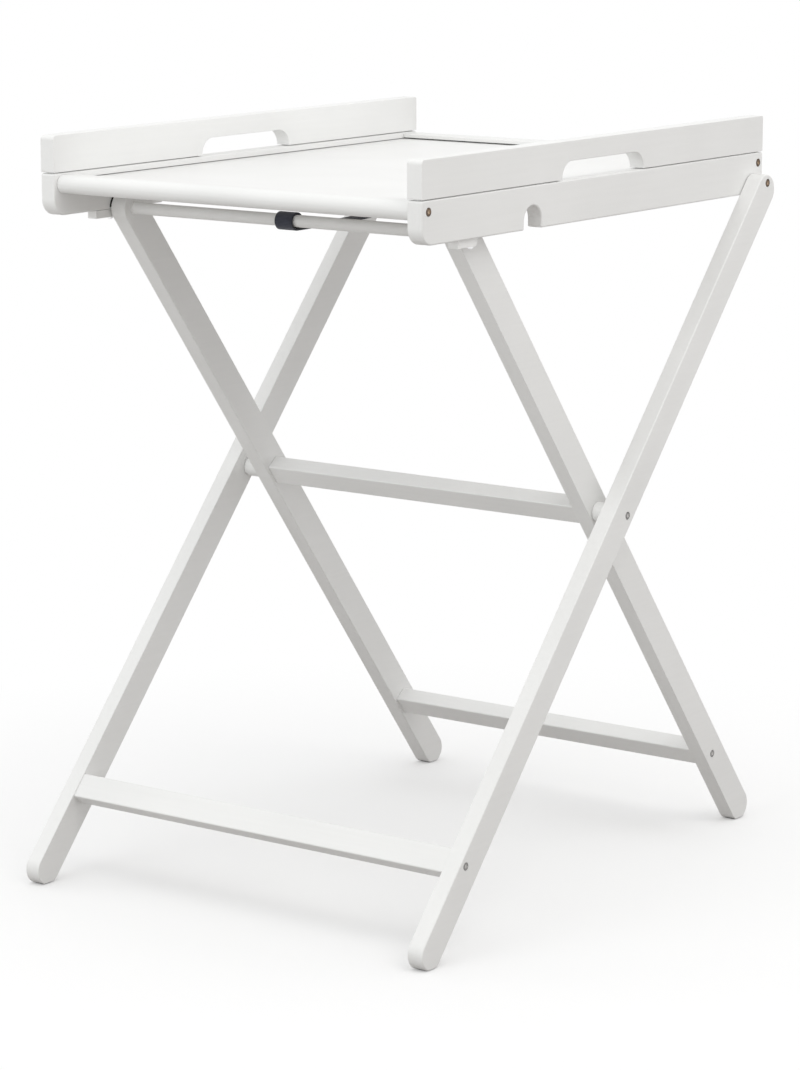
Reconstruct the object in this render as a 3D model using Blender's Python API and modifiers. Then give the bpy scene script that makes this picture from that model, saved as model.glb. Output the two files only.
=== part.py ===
# Folding changing table. Two outer legs and two inner legs cross like scissors.
# The tray turns on the outer leg tops and rests on the inner leg tops, where a
# round dowel joins the inner legs. A strap ties that dowel to the tray's rear bar.
# X is the width, Y runs from the front to the rear, Z is up and zero is the floor.

import math

import bmesh
import bpy
from mathutils import Matrix, Vector

# Gap between touching pieces, and how far a cutter runs past a face
FIT_GAP = 0.0003
CUT_OVERRUN = 0.002

# Legs in side view, measured from the point where their centre lines cross
LEG_WIDTH = 0.0400
OUTER_LEG_ANGLE = math.radians(48.52)
INNER_LEG_ANGLE = math.radians(52.43)
OUTER_LOWER_LENGTH = 0.6212
OUTER_UPPER_LENGTH = 0.4875
FOOT_CUT = 0.0025
LEG_EDGE_ROUND = 0.0015

# Thicknesses and widths across the table
TRAY_WIDTH = 0.5718
RAIL_THICKNESS = 0.02095
OUTER_LEG_THICKNESS = 0.0216
INNER_LEG_THICKNESS = 0.0218
WASHER_THICKNESS = 0.0004
WASHER_DIAMETER = 0.016
DISC_THICKNESS = 0.00125
DISC_DIAMETER = 0.022

# Floor glides
GLIDE_THICKNESS = 0.0012
GLIDE_LENGTH = 0.015
GLIDE_WIDTH = 0.017

# Crossbars between the legs, along the leg by across it
FRONT_FOOT_BAR_ALONG = 0.0332
FRONT_FOOT_BAR_ACROSS = 0.019
FRONT_FOOT_BAR_SHIFT = 0.0091
REAR_FOOT_BAR_ALONG = 0.029
REAR_FOOT_BAR_ACROSS = 0.0216
MID_BAR_ALONG = 0.0305
MID_BAR_ACROSS = 0.0206
INNER_BAR_SHIFT = 0.0048
MID_BAR_DROP = 0.0079
FOOT_BAR_RISE = 0.1124
BAR_EDGE_ROUND = 0.002

# Scissor pivot and tray pivot
SPACER_DIAMETER = 0.025
SPACER_EDGE = 0.001
PIVOT_ADVANCE = 0.0084
PIVOT_SHIFT = 0.0041

# Side rails and guard rails
RAIL_HEIGHT = 0.0518
PIVOT_ABOVE_RAIL_BOTTOM = 0.0147
RAIL_BEHIND_PIVOT = 0.0242
RAIL_AHEAD_OF_DOWEL = 0.1229
RAIL_TOE_RADIUS = 0.020
RAIL_CORNER_RADIUS = 0.0025
RAIL_EDGE_ROUND = 0.0018
NOTCH_SIDE_ROOM = 0.0057
NOTCH_HEIGHT = 0.028
GUARD_HEIGHT = 0.0463
GUARD_FRONT_RADIUS = 0.006
HANDLE_WIDTH = 0.180
HANDLE_HEIGHT = 0.022
HANDLE_CORNER_RADIUS = 0.0215
GUARD_PIN_DIAMETER = 0.006
GUARD_PIN_DEPTH = 0.014
GUARD_PIN_FROM_FACE = 0.0084
GUARD_PIN_FROM_END = 0.055
GUARD_PIN_FROM_HANDLE = 0.040

# Front bar, rear bar and the panel that sits in their grooves
TRAY_BAR_HEIGHT = 0.0228
TRAY_BAR_DROP = 0.0019
FRONT_BAR_DEPTH = 0.027
FRONT_BAR_SETBACK = 0.0053
REAR_BAR_DEPTH = 0.0314
PANEL_THICKNESS = 0.005
PANEL_DROP = 0.0068
GROOVE_DEPTH = 0.008
GROOVE_HEADROOM = 0.001
REAR_GROOVE_HEADROOM = 0.0018
FRONT_BOLT_FROM_END = 0.0134
REAR_BOLT_FROM_END = 0.0108

# Top dowel and the strap that hangs from it
DOWEL_DIAMETER = 0.015
DOWEL_ABOVE_RAIL_BOTTOM = 0.0013
DOWEL_SOCKET_DEPTH = 0.012
STRAP_WIDTH = 0.026
STRAP_THICKNESS = 0.0018
STRAP_SLACK = 0.0006
STRAP_LAP = 0.028
CLAMP_WIDTH = 0.046
CLAMP_DEPTH = 0.014
CLAMP_THICKNESS = 0.0015
CLAMP_SCREW_INSET = 0.0055
CLAMP_SCREW_LENGTH = 0.015

# Blocks under the panel that sit on the inner leg tops
REST_BLOCK_LENGTH = 0.055
REST_BLOCK_AHEAD_OF_DOWEL = 0.0326
REST_SCREW_INTO_RAIL = 0.012

# Turn buttons under the rails that hold the folded table shut
CATCH_WIDTH = 0.0138
CATCH_LENGTH = 0.041
CATCH_HEIGHT = 0.0097
CATCH_INSET = 0.00145
CATCH_PIVOT_AHEAD_OF_DOWEL = 0.0102
CATCH_FRONT_RADIUS = 0.0015
CATCH_REAR_RADIUS = 0.004
CATCH_EDGE_ROUND = 0.001
CATCH_SCREW_INTO_RAIL = 0.020
CATCH_SCREW_HEAD_HEIGHT = 0.004

# Machine bolts, their barrel nuts and threaded sleeves
BOLT_DIAMETER = 0.006
STEEL_HEAD_DIAMETER = 0.009
BRONZE_HEAD_DIAMETER = 0.0094
HEAD_HEIGHT = 0.0035
HEAD_PROUD = 0.0004
SOCKET_DIAMETER = 0.0046
SOCKET_DEPTH = 0.002
BOLT_INTO_BAR = 0.032
BARREL_NUT_FROM_END = 0.024
BARREL_NUT_DIAMETER = 0.010
BARREL_NUT_LENGTH = 0.014
SLEEVE_DIAMETER = 0.0096
SLEEVE_LENGTH = 0.013
SLEEVE_FLANGE_DIAMETER = 0.0145
SLEEVE_FLANGE_THICKNESS = 0.0012
TRAY_BOLT_INTO_BAR = 0.030
PIVOT_BOLT_SET_IN = 0.002

# Wood screws and locating pins
SCREW_DIAMETER = 0.004
SCREW_HEAD_DIAMETER = 0.0078
SCREW_HEAD_HEIGHT = 0.0024
DOWEL_SCREW_LENGTH = 0.034
PIN_DIAMETER = 0.006
PIN_DEPTH = 0.010
PIN_FROM_BOLT = 0.009

# How finely round shapes are divided
LEG_END_STEPS = 12
QUARTER_STEPS = 4
BOLT_SIDES = 12
SPACER_SIDES = 20
DISC_SIDES = 28
SCREW_SIDES = 10
PIN_SIDES = 8
SOCKET_SIDES = 6
STRAP_STEPS = 10
EDGE_STEPS = 1
SHARP_ANGLE = math.radians(35)
FLAT_ANGLE = math.radians(0.1)
SIDES = (("left", -1), ("right", 1))
ACROSS = math.pi / 2

# Colours and finishes
WHITE_LACQUER = ((0.86, 0.86, 0.84, 1.0), 0.38, 0.0)
WHITE_PLASTIC = ((0.84, 0.84, 0.83, 1.0), 0.30, 0.0)
BRONZED_STEEL = ((0.33, 0.19, 0.11, 1.0), 0.35, 1.0)
ZINC_STEEL = ((0.62, 0.63, 0.65, 1.0), 0.35, 1.0)
NAVY_WEBBING = ((0.012, 0.015, 0.036, 1.0), 0.85, 0.0)
GREY_RUBBER = ((0.10, 0.10, 0.10, 1.0), 0.80, 0.0)

# Faces across the width, as distances from the middle
RAIL_OUT = TRAY_WIDTH / 2
RAIL_IN = RAIL_OUT - RAIL_THICKNESS
OUTER_IN = RAIL_OUT + WASHER_THICKNESS + 2 * FIT_GAP
OUTER_OUT = OUTER_IN + OUTER_LEG_THICKNESS
INNER_OUT = RAIL_IN - DISC_THICKNESS - 2 * FIT_GAP
INNER_IN = INNER_OUT - INNER_LEG_THICKNESS

# Crossing of the centre lines, with the feet an equal way before and behind zero
LEG_RADIUS = LEG_WIDTH / 2
FOOT_FLAT = GLIDE_THICKNESS + FIT_GAP
FOOT_CENTRE = FOOT_FLAT + LEG_RADIUS - FOOT_CUT
CROSSING_Z = FOOT_CENTRE + OUTER_LOWER_LENGTH * math.sin(OUTER_LEG_ANGLE)
INNER_LOWER_LENGTH = (CROSSING_Z - FOOT_CENTRE) / math.sin(INNER_LEG_ANGLE)
FRONT_REACH = OUTER_LOWER_LENGTH * math.cos(OUTER_LEG_ANGLE) + LEG_RADIUS
REAR_REACH = INNER_LOWER_LENGTH * math.cos(INNER_LEG_ANGLE) + LEG_RADIUS
CROSSING_Y = (FRONT_REACH - REAR_REACH) / 2

# The inner legs lean back from the top, so their direction is turned past upright
OUTER_WAY = OUTER_LEG_ANGLE
INNER_WAY = math.pi - INNER_LEG_ANGLE


def leg_point(way, along, across):
    y = CROSSING_Y + along * math.cos(way) - across * math.sin(way)
    z = CROSSING_Z + along * math.sin(way) + across * math.cos(way)
    return (y, z)


# Axes that run across the table, as points in the side view
SCISSOR_AXIS = leg_point(INNER_WAY, -MID_BAR_DROP, INNER_BAR_SHIFT)
TRAY_AXIS = leg_point(OUTER_WAY, OUTER_UPPER_LENGTH + PIVOT_ADVANCE, PIVOT_SHIFT)
FRONT_FOOT_AXIS = leg_point(OUTER_WAY, FOOT_BAR_RISE - OUTER_LOWER_LENGTH, FRONT_FOOT_BAR_SHIFT)
REAR_FOOT_AXIS = leg_point(INNER_WAY, FOOT_BAR_RISE - INNER_LOWER_LENGTH, INNER_BAR_SHIFT)
RAIL_BOTTOM = TRAY_AXIS[1] - PIVOT_ABOVE_RAIL_BOTTOM
DOWEL_Z = RAIL_BOTTOM + DOWEL_ABOVE_RAIL_BOTTOM
INNER_UPPER_LENGTH = (DOWEL_Z - CROSSING_Z) / math.sin(INNER_LEG_ANGLE)
DOWEL_AXIS = leg_point(INNER_WAY, INNER_UPPER_LENGTH, 0)
PIVOT_SPAN = math.dist(SCISSOR_AXIS, TRAY_AXIS)

# Tray heights and its ends
RAIL_TOP = RAIL_BOTTOM + RAIL_HEIGHT
RAIL_REAR = TRAY_AXIS[0] + RAIL_BEHIND_PIVOT
RAIL_FRONT = DOWEL_AXIS[0] - RAIL_AHEAD_OF_DOWEL
RAIL_MIDDLE = (RAIL_FRONT + RAIL_REAR) / 2
GUARD_BOTTOM = RAIL_TOP + FIT_GAP
GUARD_TOP = GUARD_BOTTOM + GUARD_HEIGHT
BAR_TOP = RAIL_TOP - TRAY_BAR_DROP
BAR_BOTTOM = BAR_TOP - TRAY_BAR_HEIGHT
BAR_MIDDLE = (BAR_TOP + BAR_BOTTOM) / 2
BAR_END = RAIL_IN - FIT_GAP
FRONT_BAR_FACE = RAIL_FRONT + FRONT_BAR_SETBACK
FRONT_BAR_BACK = FRONT_BAR_FACE + FRONT_BAR_DEPTH
REAR_BAR_FACE = RAIL_REAR - REAR_BAR_DEPTH
PANEL_TOP = BAR_TOP - PANEL_DROP
PANEL_BOTTOM = PANEL_TOP - PANEL_THICKNESS
FRONT_BOLT_AXIS = (RAIL_FRONT + FRONT_BOLT_FROM_END, BAR_MIDDLE)
REAR_BOLT_AXIS = (RAIL_REAR - REAR_BOLT_FROM_END, BAR_MIDDLE)

# Catch pivot in plan
CATCH_RADIUS = CATCH_WIDTH / 2
CATCH_X = RAIL_IN + CATCH_INSET + CATCH_RADIUS
CATCH_Y = DOWEL_AXIS[0] - CATCH_PIVOT_AHEAD_OF_DOWEL


def clear_scene():
    for item in list(bpy.data.objects):
        bpy.data.objects.remove(item)


def new_collection(name):
    collection = bpy.data.collections.new(name)
    bpy.context.scene.collection.children.link(collection)
    return collection


def new_material(name, finish):
    colour, roughness, metallic = finish
    material = bpy.data.materials.new(name)
    material.use_nodes = True
    shader = material.node_tree.nodes["Principled BSDF"]
    shader.inputs["Base Color"].default_value = colour
    shader.inputs["Roughness"].default_value = roughness
    shader.inputs["Metallic"].default_value = metallic
    material.diffuse_color = colour
    return material


def new_empty(name, place, parent=None):
    empty = bpy.data.objects.new(name, None)
    parts.objects.link(empty)
    if parent is not None:
        empty.parent = parent
        empty.location = Vector(place) - parent.matrix_world.translation
    else:
        empty.location = place
    bpy.context.view_layer.update()
    return empty


def keep(piece, parent, material):
    # A finished piece takes its place under the empty on its joint's axis
    parts.objects.link(piece)
    piece.data.materials.append(material)
    piece.location -= parent.matrix_world.translation
    piece.parent = parent
    bpy.context.view_layer.update()
    return piece


def as_cutter(piece):
    cutters.objects.link(piece)
    piece.hide_render = True
    piece.display_type = "WIRE"
    return piece


def cut(piece, *tools):
    for tool in tools:
        boolean = piece.modifiers.new("cut_" + tool.name, "BOOLEAN")
        boolean.operation = "DIFFERENCE"
        boolean.solver = "EXACT"
        boolean.object = tool


def join(piece, tool):
    boolean = piece.modifiers.new("join_" + tool.name, "BOOLEAN")
    boolean.operation = "UNION"
    boolean.solver = "EXACT"
    boolean.object = tool


def round_edges(piece, width):
    bevel = piece.modifiers.new("rounded_edges", "BEVEL")
    bevel.width = width
    bevel.segments = EDGE_STEPS
    bevel.limit_method = "ANGLE"
    bevel.angle_limit = SHARP_ANGLE


def upright(way):
    # Local X lies along the way in side view, local Y across it, local Z along the width
    standing = Matrix(((0, 0, 1), (1, 0, 0), (0, 1, 0)))
    return (Matrix.Rotation(way, 3, "X") @ standing).to_euler()


def arc(centre, radius, start, sweep, steps):
    points = []
    for step in range(steps + 1):
        angle = start + sweep * step / steps
        points.append((centre[0] + radius * math.cos(angle), centre[1] + radius * math.sin(angle)))
    return points


def stadium(start, end, radius, steps):
    # Straight sides with a half round at each end
    points = arc((end, 0), radius, -math.pi / 2, math.pi, steps)
    points += arc((start, 0), radius, math.pi / 2, math.pi, steps)
    return points


def rounded(corners):
    # Each corner is its two coordinates and its radius, in order round the outline
    points = []
    for index, (x, y, radius) in enumerate(corners):
        corner = Vector((x, y))
        before = (Vector(corners[index - 1][:2]) - corner).normalized()
        after = (Vector(corners[(index + 1) % len(corners)][:2]) - corner).normalized()
        if radius == 0:
            points.append((x, y))
            continue
        half = before.angle(after) / 2
        centre = corner + (before + after).normalized() * (radius / math.sin(half))
        start = corner + before * (radius / math.tan(half)) - centre
        sweep = math.pi - 2 * half
        if before.x * after.y - before.y * after.x > 0:
            sweep = -sweep
        start_angle = math.atan2(start.y, start.x)
        points += arc(centre, radius, start_angle, sweep, QUARTER_STEPS)
    return points


def flat_piece(name, outlines, thickness, place, rotation):
    # A flat outline, with any further outlines as holes, made thick and welded
    curve = bpy.data.curves.new(name, "CURVE")
    curve.dimensions = "2D"
    curve.fill_mode = "BOTH"
    curve.extrude = thickness / 2
    for outline in outlines:
        spline = curve.splines.new("POLY")
        spline.points.add(len(outline) - 1)
        for point, (x, y) in zip(spline.points, outline):
            point.co = (x, y, 0, 1)
        spline.use_cyclic_u = True
    drawn = bpy.data.objects.new(name + "_outline", curve)
    bpy.context.scene.collection.objects.link(drawn)
    drawn.location = place
    drawn.rotation_euler = rotation
    bpy.context.view_layer.update()
    evaluated = drawn.evaluated_get(bpy.context.evaluated_depsgraph_get())
    mesh = bpy.data.meshes.new_from_object(evaluated)
    mesh.name = name
    piece = bpy.data.objects.new(name, mesh)
    piece.matrix_world = drawn.matrix_world
    bpy.data.objects.remove(drawn)
    solid = bmesh.new()
    solid.from_mesh(mesh)
    bmesh.ops.remove_doubles(solid, verts=solid.verts, dist=FIT_GAP / 10)
    bmesh.ops.dissolve_limit(solid, angle_limit=FLAT_ANGLE, verts=solid.verts, edges=solid.edges)
    bmesh.ops.recalc_face_normals(solid, faces=solid.faces)
    solid.to_mesh(mesh)
    solid.free()
    return piece


def turned(name, profile, sides, place, tilt, closed=False):
    # A profile of (radius, height) turned on local Z, which the tilt lays along the width
    profile = list(profile)
    if profile[0][1] < profile[-1][1] and not closed:
        profile.reverse()
    edges = [(index, index + 1) for index in range(len(profile) - 1)]
    if closed:
        edges.append((len(profile) - 1, 0))
    mesh = bpy.data.meshes.new(name)
    mesh.from_pydata([(radius, 0, height) for radius, height in profile], edges, [])
    piece = bpy.data.objects.new(name, mesh)
    piece.location = place
    piece.rotation_euler = (0, tilt, 0)
    screw = piece.modifiers.new("turned", "SCREW")
    screw.axis = "Z"
    screw.steps = sides
    screw.render_steps = sides
    screw.use_merge_vertices = True
    screw.merge_threshold = FIT_GAP / 10
    screw.use_smooth_shade = False
    return piece


def both_sides(cutter):
    mirror = cutter.modifiers.new("other_side", "MIRROR")
    mirror.mirror_object = outer_frame
    mirror.use_mirror_merge = False
    mirror.merge_threshold = FIT_GAP / 10
    return as_cutter(cutter)


def stepped(top, steps):
    # A turned profile that changes its radius at each given height on the way down
    profile = [(0, top)]
    height = top
    for radius, lower in steps:
        profile.append((radius, height))
        profile.append((radius, lower))
        height = lower
    profile.append((0, height))
    return profile


def rods(name, ends, radius, sides):
    # Round rods, one between each pair of end points, kept as separate solids
    solid = bmesh.new()
    for start, end in ends:
        start = Vector(start)
        run = Vector(end) - start
        turn = run.to_track_quat("Z", "Y").to_matrix().to_4x4()
        matrix = Matrix.Translation(start + run / 2) @ turn
        bmesh.ops.create_cone(solid, cap_ends=True, segments=sides, radius1=radius, radius2=radius,
                              depth=run.length, matrix=matrix)
    mesh = bpy.data.meshes.new(name)
    solid.to_mesh(mesh)
    solid.free()
    return bpy.data.objects.new(name, mesh)


def boxes(name, spans):
    # Boxes, each given by its low corner and its high corner, kept as separate solids
    solid = bmesh.new()
    for low, high in spans:
        size = Vector(high) - Vector(low)
        middle = Matrix.Translation((Vector(high) + Vector(low)) / 2)
        bmesh.ops.create_cube(solid, size=1, matrix=middle @ Matrix.Diagonal((*size, 1)))
    mesh = bpy.data.meshes.new(name)
    solid.to_mesh(mesh)
    solid.free()
    return bpy.data.objects.new(name, mesh)


def hex_sockets(name, axis_point, head_face):
    y, z = axis_point
    ends = []
    for _, side in SIDES:
        bottom = side * (head_face - SOCKET_DEPTH)
        mouth = side * (head_face + CUT_OVERRUN)
        ends.append(((bottom, y, z), (mouth, y, z)))
    return as_cutter(rods(name, ends, SOCKET_DIAMETER / 2, SOCKET_SIDES))


def bolt_pair(name, axis_point, face, tip, head_diameter, parent, material):
    # One bolt from each side along the same axis, with its head sunk in the outer face
    place = (0, *axis_point)
    head_face = face + HEAD_PROUD
    seat = head_face - HEAD_HEIGHT
    head = head_diameter / 2
    shank = BOLT_DIAMETER / 2
    sockets = hex_sockets(name + "_socket", axis_point, head_face)
    for side_name, side in SIDES:
        profile = stepped(head_face, ((head, seat), (shank, tip)))
        bolt = turned(name + "_" + side_name, profile, BOLT_SIDES, place, side * ACROSS)
        cut(keep(bolt, parent, material), sockets)
    steps = ((head + FIT_GAP, seat - FIT_GAP), (shank + FIT_GAP, tip - FIT_GAP))
    bore = turned(name + "_bore", stepped(face + CUT_OVERRUN, steps), BOLT_SIDES, place, ACROSS)
    return both_sides(bore)


def barrel_nuts(name, axis_point, way, bar_end, bar_across, parent, material, bore):
    # A nut lies across each bolt, in a pocket open to the hidden side of the bar
    across = Vector((0, -math.sin(way), math.cos(way)))
    reach = across * (BARREL_NUT_LENGTH / 2)
    radius = BARREL_NUT_DIAMETER / 2
    pocket_ends = []
    for side_name, side in SIDES:
        centre = Vector((side * (bar_end - BARREL_NUT_FROM_END), *axis_point))
        nut = rods(name + "_" + side_name, [(centre - reach, centre + reach)], radius, BOLT_SIDES)
        cut(keep(nut, parent, material), bore)
        mouth = centre - across * (bar_across / 2 + CUT_OVERRUN)
        pocket_ends.append((mouth, centre + reach + across * FIT_GAP))
    return as_cutter(rods(name + "_pocket", pocket_ends, radius + FIT_GAP, BOLT_SIDES))


def locating_pins(name, axis_point, way, bar_end):
    # A stub pin beside each bolt keeps the bar from turning; it is part of the bar
    aside = Vector((0, math.cos(way), math.sin(way))) * PIN_FROM_BOLT
    pin_ends = []
    hole_ends = []
    for _, side in SIDES:
        middle = Vector((side * bar_end, *axis_point)) + aside
        reach = Vector((side * PIN_DEPTH, 0, 0))
        spare = Vector((side * FIT_GAP, 0, 0))
        pin_ends.append((middle - reach, middle + reach))
        hole_ends.append((middle - reach - spare, middle + reach + spare))
    radius = PIN_DIAMETER / 2
    pins = as_cutter(rods(name, pin_ends, radius, PIN_SIDES))
    return pins, as_cutter(rods(name + "_hole", hole_ends, radius + FIT_GAP, PIN_SIDES))


def pivot_sleeves():
    # A flanged sleeve in each rail takes the pivot bolt, its flange on the inner face
    outer = SLEEVE_DIAMETER / 2
    inner = BOLT_DIAMETER / 2 + FIT_GAP
    rim = SLEEVE_FLANGE_DIAMETER / 2
    end = RAIL_IN + SLEEVE_LENGTH
    front = RAIL_IN - FIT_GAP
    back = front - SLEEVE_FLANGE_THICKNESS
    profile = [(inner, back), (inner, end), (outer, end), (outer, front), (rim, front), (rim, back)]
    place = (0, *TRAY_AXIS)
    for side_name, side in SIDES:
        sleeve = turned("pivot_sleeve_" + side_name, profile, BOLT_SIDES, place, side * ACROSS,
                        closed=True)
        keep(sleeve, tray, zinc_steel)
    steps = ((outer + FIT_GAP, RAIL_IN - CUT_OVERRUN),)
    pocket = turned("pivot_sleeve_pocket", stepped(end + FIT_GAP, steps), BOLT_SIDES, place, ACROSS)
    return both_sides(pocket)


def legs(kind, way, lower, upper, inside, thickness, parent, tools):
    outline = stadium(-lower, upper, LEG_RADIUS, LEG_END_STEPS)
    for side_name, side in SIDES:
        place = (side * (inside + thickness / 2), CROSSING_Y, CROSSING_Z)
        leg = flat_piece(kind + "_leg_" + side_name, [outline], thickness, place, upright(way))
        round_edges(leg, LEG_EDGE_ROUND)
        cut(leg, *tools)
        keep(leg, parent, white_lacquer)


def floor_cut():
    reach = FRONT_REACH + CUT_OVERRUN
    half = OUTER_OUT + CUT_OVERRUN
    return as_cutter(boxes("floor_cut", [((-half, -reach, -LEG_WIDTH), (half, reach, FOOT_FLAT))]))


def glides(name, foot_y, middle, parent):
    for side_name, side in SIDES:
        x = side * middle
        low = (x - GLIDE_WIDTH / 2, foot_y - GLIDE_LENGTH / 2, 0)
        high = (x + GLIDE_WIDTH / 2, foot_y + GLIDE_LENGTH / 2, GLIDE_THICKNESS)
        keep(boxes(name + "_" + side_name, [(low, high)]), parent, grey_rubber)


def crossbar(name, axis_point, way, along, across, bar_end, parent, pins, tools):
    half_along = along / 2
    half_across = across / 2
    corners = [(-half_along, -half_across, BAR_EDGE_ROUND), (half_along, -half_across, BAR_EDGE_ROUND),
               (half_along, half_across, BAR_EDGE_ROUND), (-half_along, half_across, BAR_EDGE_ROUND)]
    place = (0, *axis_point)
    length = 2 * (bar_end - FIT_GAP)
    bar = flat_piece(name, [rounded(corners)], length, place, upright(way))
    join(bar, pins)
    cut(bar, *tools)
    keep(bar, parent, white_lacquer)


def crossing_spacers():
    outer = SPACER_DIAMETER / 2
    inner = BOLT_DIAMETER / 2 + FIT_GAP
    top = OUTER_IN - FIT_GAP
    bottom = INNER_OUT + FIT_GAP
    profile = [(outer - SPACER_EDGE, top), (outer, top - SPACER_EDGE), (outer, bottom + SPACER_EDGE),
               (outer - SPACER_EDGE, bottom), (inner, bottom), (inner, top)]
    for side_name, side in SIDES:
        spacer = turned("crossing_spacer_" + side_name, profile, SPACER_SIDES,
                        (0, *SCISSOR_AXIS), side * ACROSS, closed=True)
        keep(spacer, inner_frame, white_lacquer)


def pivot_washers():
    outer = WASHER_DIAMETER / 2
    inner = BOLT_DIAMETER / 2 + FIT_GAP
    top = OUTER_IN - FIT_GAP
    bottom = top - WASHER_THICKNESS
    profile = [(outer, top), (outer, bottom), (inner, bottom), (inner, top)]
    for side_name, side in SIDES:
        washer = turned("pivot_washer_" + side_name, profile, SPACER_SIDES,
                        (0, *TRAY_AXIS), side * ACROSS, closed=True)
        keep(washer, tray, white_plastic)


def slide_discs():
    low = INNER_OUT + FIT_GAP
    for side_name, side in SIDES:
        start = (side * low, *DOWEL_AXIS)
        end = (side * (low + DISC_THICKNESS), *DOWEL_AXIS)
        disc = rods("slide_disc_" + side_name, [(start, end)], DISC_DIAMETER / 2, DISC_SIDES)
        keep(disc, inner_frame, white_plastic)


def support_dowel():
    reach = INNER_IN + DOWEL_SOCKET_DEPTH
    radius = DOWEL_DIAMETER / 2
    ends = [((-reach, *DOWEL_AXIS), (reach, *DOWEL_AXIS))]
    dowel = rods("support_dowel", ends, radius, SPACER_SIDES)
    spare = reach + FIT_GAP
    hole_ends = [((-spare, *DOWEL_AXIS), (spare, *DOWEL_AXIS))]
    socket = as_cutter(rods("support_dowel_socket", hole_ends, radius + FIT_GAP, SPACER_SIDES))
    return dowel, socket


def screws_across(name, axis_point, head_face, tip, parent):
    # One wood screw on each side along the width, its head sunk in the face it starts at
    inward = 1 if tip > head_face else -1
    head = SCREW_HEAD_DIAMETER / 2
    shank = SCREW_DIAMETER / 2
    seat = head_face + inward * SCREW_HEAD_HEIGHT
    profile = stepped(head_face, ((head, seat), (shank, tip)))
    place = (0, *axis_point)
    for side_name, side in SIDES:
        screw = turned(name + "_" + side_name, profile, SCREW_SIDES, place, side * ACROSS)
        keep(screw, parent, zinc_steel)
    mouth = head_face - inward * CUT_OVERRUN
    steps = ((head + FIT_GAP, seat + inward * FIT_GAP), (shank + FIT_GAP, tip + inward * FIT_GAP))
    return both_sides(turned(name + "_bore", stepped(mouth, steps), SCREW_SIDES, place, ACROSS))


def screws_upward(name, x, y, head_face, head_height, tip):
    # One wood screw on each side, driven up from below into the tray
    head = SCREW_HEAD_DIAMETER / 2
    shank = SCREW_DIAMETER / 2
    profile = stepped(tip, ((shank, head_face + head_height), (head, head_face)))
    for side_name, side in SIDES:
        screw = turned(name + "_" + side_name, profile, SCREW_SIDES, (side * x, y, 0), 0)
        keep(screw, tray, zinc_steel)
    bore = stepped(tip + FIT_GAP, ((shank + FIT_GAP, head_face + head_height + FIT_GAP / 2),))
    return both_sides(turned(name + "_bore", bore, SCREW_SIDES, (x, y, 0), 0))


def strap_height(y):
    # The underside of the strap sags from the dowel loop up to the rear bar
    low = DOWEL_Z - STRAP_SLACK - strap_outer_radius()
    high = BAR_BOTTOM - FIT_GAP - STRAP_THICKNESS
    share = (y - DOWEL_AXIS[0]) / (REAR_BAR_FACE - DOWEL_AXIS[0])
    return low + (high - low) * min(share, 1) ** 2


def strap_outer_radius():
    return DOWEL_DIAMETER / 2 + FIT_GAP + STRAP_SLACK + STRAP_THICKNESS


def strap():
    outer = strap_outer_radius()
    centre = (DOWEL_AXIS[0], DOWEL_Z - STRAP_SLACK)
    lap_angle = math.acos(1 - 2 * STRAP_THICKNESS / outer)
    loop = arc(centre, outer, lap_angle - math.pi / 2, 2 * math.pi - lap_angle, 2 * LEG_END_STEPS)
    ahead = DOWEL_AXIS[0] + STRAP_LAP
    stops = [ahead + (REAR_BAR_FACE - ahead) * step / STRAP_STEPS for step in range(STRAP_STEPS + 1)]
    stops.append(REAR_BAR_FACE + CLAMP_DEPTH)
    under = [(y, strap_height(y)) for y in stops]
    over = [(y, strap_height(y) + STRAP_THICKNESS) for y in reversed(stops)]
    lap = [(ahead, strap_height(ahead) + 2 * STRAP_THICKNESS)]
    hole = arc(centre, outer - STRAP_THICKNESS, 0, 2 * math.pi, 2 * LEG_END_STEPS)[:-1]
    outline = loop + under + over + lap
    piece = flat_piece("strap", [outline, hole], STRAP_WIDTH, (0, 0, 0), upright(0))
    keep(piece, inner_frame, navy_webbing)


def strap_clamp():
    top = BAR_BOTTOM - STRAP_THICKNESS - 2 * FIT_GAP
    bottom = top - CLAMP_THICKNESS
    low = (-CLAMP_WIDTH / 2, REAR_BAR_FACE, bottom)
    high = (CLAMP_WIDTH / 2, REAR_BAR_FACE + CLAMP_DEPTH, top)
    plate = boxes("strap_clamp_plate", [(low, high)])
    head_face = bottom - FIT_GAP - SCREW_HEAD_HEIGHT
    bore = screws_upward("strap_clamp_screw", CLAMP_WIDTH / 2 - CLAMP_SCREW_INSET,
                         REAR_BAR_FACE + CLAMP_DEPTH / 2, head_face, SCREW_HEAD_HEIGHT,
                         head_face + CLAMP_SCREW_LENGTH)
    cut(plate, bore)
    keep(plate, tray, zinc_steel)
    return bore


def rail_outline():
    notch_half = SPACER_DIAMETER / 2 + NOTCH_SIDE_ROOM
    notch_y = TRAY_AXIS[0] - PIVOT_SPAN
    notch_top = RAIL_BOTTOM + NOTCH_HEIGHT
    return rounded([
        (RAIL_FRONT, RAIL_BOTTOM, RAIL_TOE_RADIUS),
        (notch_y - notch_half, RAIL_BOTTOM, 0),
        (notch_y - notch_half, notch_top, min(notch_half, NOTCH_HEIGHT)),
        (notch_y + notch_half, notch_top, min(notch_half, NOTCH_HEIGHT)),
        (notch_y + notch_half, RAIL_BOTTOM, 0),
        (RAIL_REAR, RAIL_BOTTOM, RAIL_CORNER_RADIUS),
        (RAIL_REAR, RAIL_TOP, RAIL_CORNER_RADIUS),
        (RAIL_FRONT, RAIL_TOP, RAIL_CORNER_RADIUS),
    ])


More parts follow.
